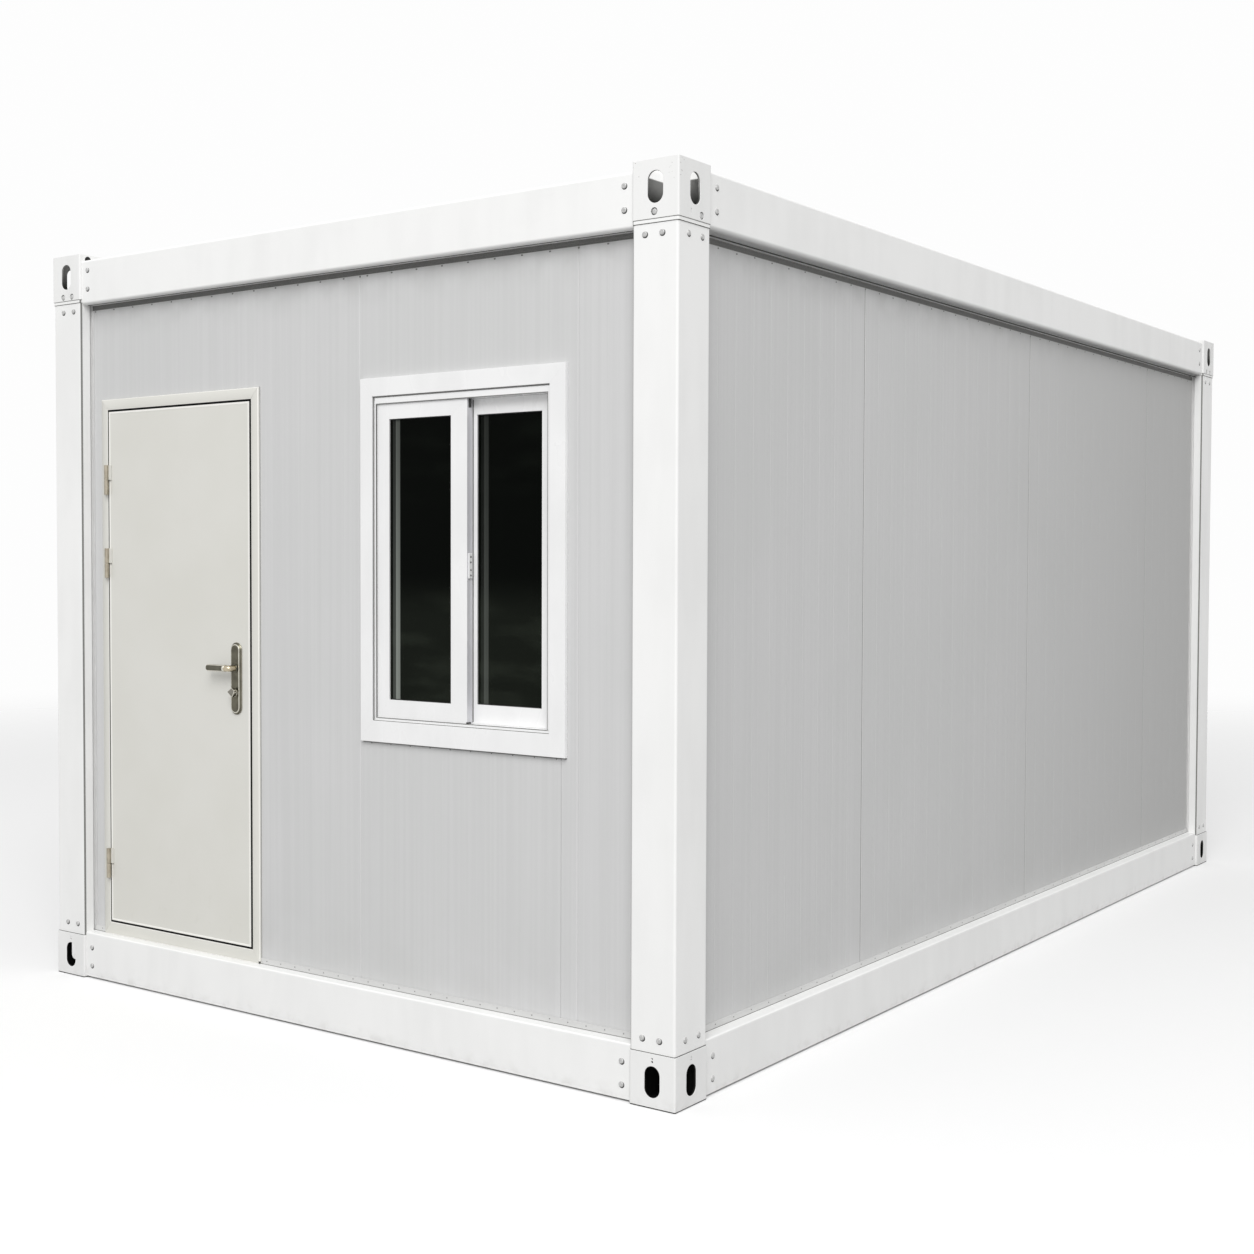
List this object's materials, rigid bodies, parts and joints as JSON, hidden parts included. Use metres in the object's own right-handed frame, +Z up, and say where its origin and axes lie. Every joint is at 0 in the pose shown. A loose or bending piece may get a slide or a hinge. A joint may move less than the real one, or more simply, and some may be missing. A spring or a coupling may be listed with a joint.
{
  "type": "detachable container house",
  "caption": "Bolted steel frame cabin with corner fittings, light grey sandwich panel walls, an outward opening side-hung door with lever handle and a two-sash sliding window.",
  "frame": {"origin": "centre of the footprint at ground level, under the corner fittings", "axes": "+Z up; -Y is the front wall with the door and window; +X is to the right seen from the front; the unit's length runs along Y"},
  "size_m": [3, 5.5, 2.9],
  "materials": {
    "frame_white": "smooth white powder coat",
    "wall_grey": "light grey coated steel face of sandwich panels, fine upright ribs",
    "trim_grey": "pale grey folded trim",
    "roof_grey": "pale grey coated roof sheet",
    "ceiling_white": "white lining panel",
    "floor_board": "grey hard-wearing floor board",
    "joist_zinc": "zinc coated steel",
    "door_ivory": "warm pale grey paint",
    "hinge_metal": "champagne coloured metal",
    "lock_metal": "dark satin nickel",
    "window_white": "white window profile",
    "window_glass": "dark clear glass"
  },
  "bodies": {
    "building": {"corner_fittings_top": "frame_white", "corner_fittings_bottom": "frame_white", "column_front_left": "frame_white", "column_front_right": "frame_white", "column_rear_left": "frame_white", "column_rear_right": "frame_white", "top_beam_front": "frame_white", "top_beam_rear": "frame_white", "top_beam_left": "frame_white", "top_beam_right": "frame_white", "bottom_beam_front": "frame_white", "bottom_beam_rear": "frame_white", "bottom_beam_left": "frame_white", "bottom_beam_right": "frame_white", "front_wall_left": "wall_grey", "front_wall_over_door": "wall_grey", "front_wall_window": "wall_grey", "rear_wall": "wall_grey", "left_wall": "wall_grey", "right_wall": "wall_grey", "roof_sheet": "roof_grey", "ceiling_panel": "ceiling_white", "floor_deck": "floor_board", "floor_joists": "joist_zinc", "wall_foot_trims": "trim_grey", "wall_edge_trims": "trim_grey", "door_frame": "door_ivory", "hinge_frame_halves": "hinge_metal", "window_trim": "window_white", "window_frame": "window_white", "window_sash_left": "window_white", "window_sash_right": "window_white", "window_latch": "window_white", "window_panes": "window_glass"},
    "door": {"door_leaf": "door_ivory", "hinge_leaf_halves": "hinge_metal", "lock_plate_outside": "lock_metal", "lock_plate_inside": "lock_metal"},
    "lever": {"lever_outside": "lock_metal", "lever_inside": "lock_metal"},
    "turn": {"thumb_turn": "lock_metal"}
  },
  "joints": [
    {"name": "door_hinge", "type": "hinge", "parent": "building", "child": "door", "pos_m": [-1.22, -2.712, 1.255], "axis": [0, 0, -1], "range_deg": [0, 110]},
    {"name": "lever_spindle", "type": "hinge", "parent": "door", "child": "lever", "pos_m": [-0.482, -2.6795, 1.28], "axis": [0, -1, 0], "range_deg": [0, 40], "stiffness_Nm_per_rad": 1.2, "springref_deg": -22.92},
    {"name": "thumb_turn_spindle", "type": "hinge", "parent": "door", "child": "turn", "pos_m": [-0.482, -2.6795, 1.188], "axis": [0, -1, 0], "range_deg": [0, 90]}
  ]
}
